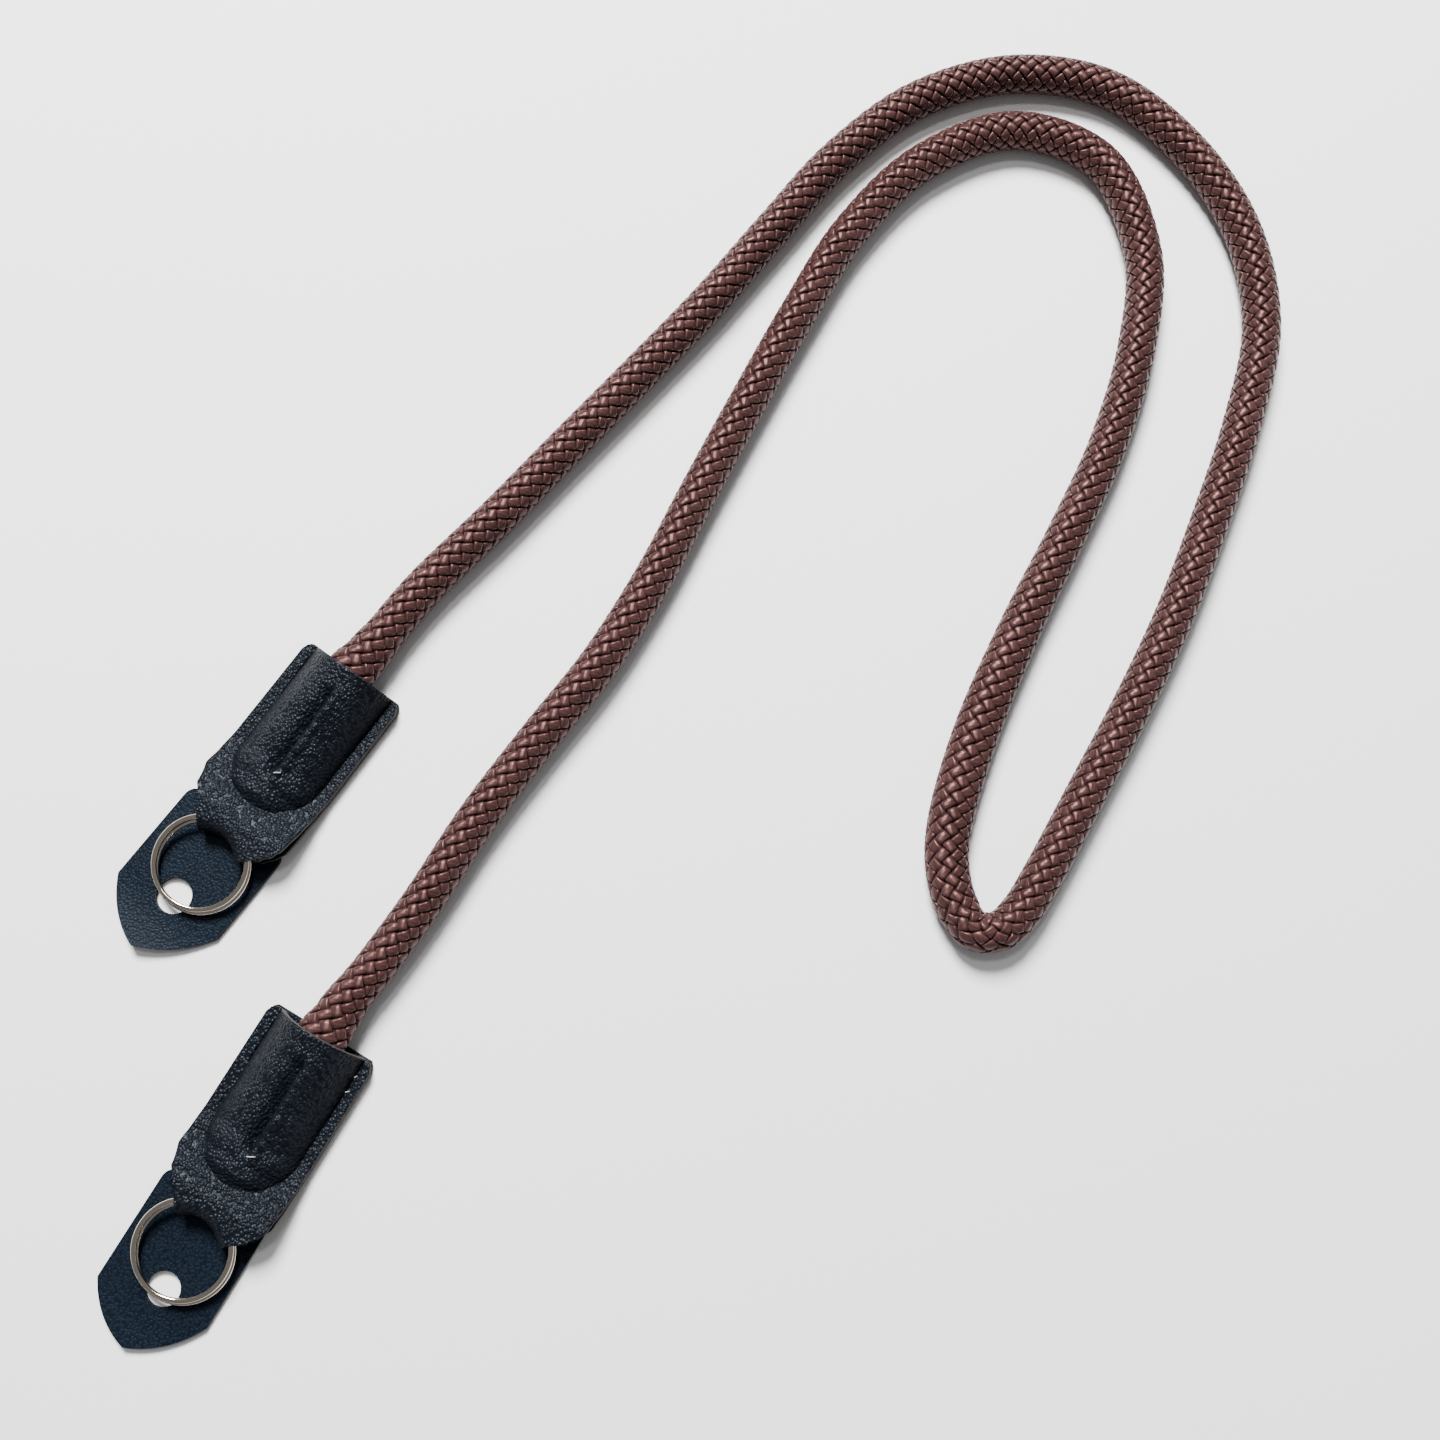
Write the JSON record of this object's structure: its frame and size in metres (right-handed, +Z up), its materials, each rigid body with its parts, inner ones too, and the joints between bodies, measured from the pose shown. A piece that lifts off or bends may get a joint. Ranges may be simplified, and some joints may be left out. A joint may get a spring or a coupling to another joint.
{
  "type": "camera neck strap",
  "caption": "Round braided rope neck strap laid in a loose loop, with leather end pockets, split rings and leather protector pads.",
  "frame": {"origin": "on the surface that the strap lies on, under the middle of the box round both leather ends", "axes": "+Y from the pads' tips along the leather ends towards the neck bend, +Z up off the surface, +X towards the end that reaches further out, with the rope's second bend on that side"},
  "size_m": [0.1921, 0.4063, 0.0116],
  "materials": {
    "braid": "braided",
    "leather": "pebbled",
    "pad_leather": "fine grain",
    "steel": "bright"
  },
  "bodies": {
    "strap": {"rope": "braid", "rope_end_left": "braid", "rope_end_right": "braid", "leather_pocket_left": "leather", "leather_pocket_right": "leather", "protector_pad_left": "pad_leather", "protector_pad_right": "pad_leather"},
    "ring_left": {"split_ring_left": "steel"},
    "ring_right": {"split_ring_right": "steel"}
  },
  "joints": [
    {"name": "ring_spin_left", "type": "hinge", "parent": "strap", "child": "ring_left", "pos_m": [-0.02365, 0.01925, 0.00413], "axis": [-0.004, -0.0963, 0.9953], "continuous": true},
    {"name": "ring_spin_right", "type": "hinge", "parent": "strap", "child": "ring_right", "pos_m": [0.02576, -0.05355, 0.00413], "axis": [0.004, -0.0963, 0.9953], "continuous": true}
  ]
}
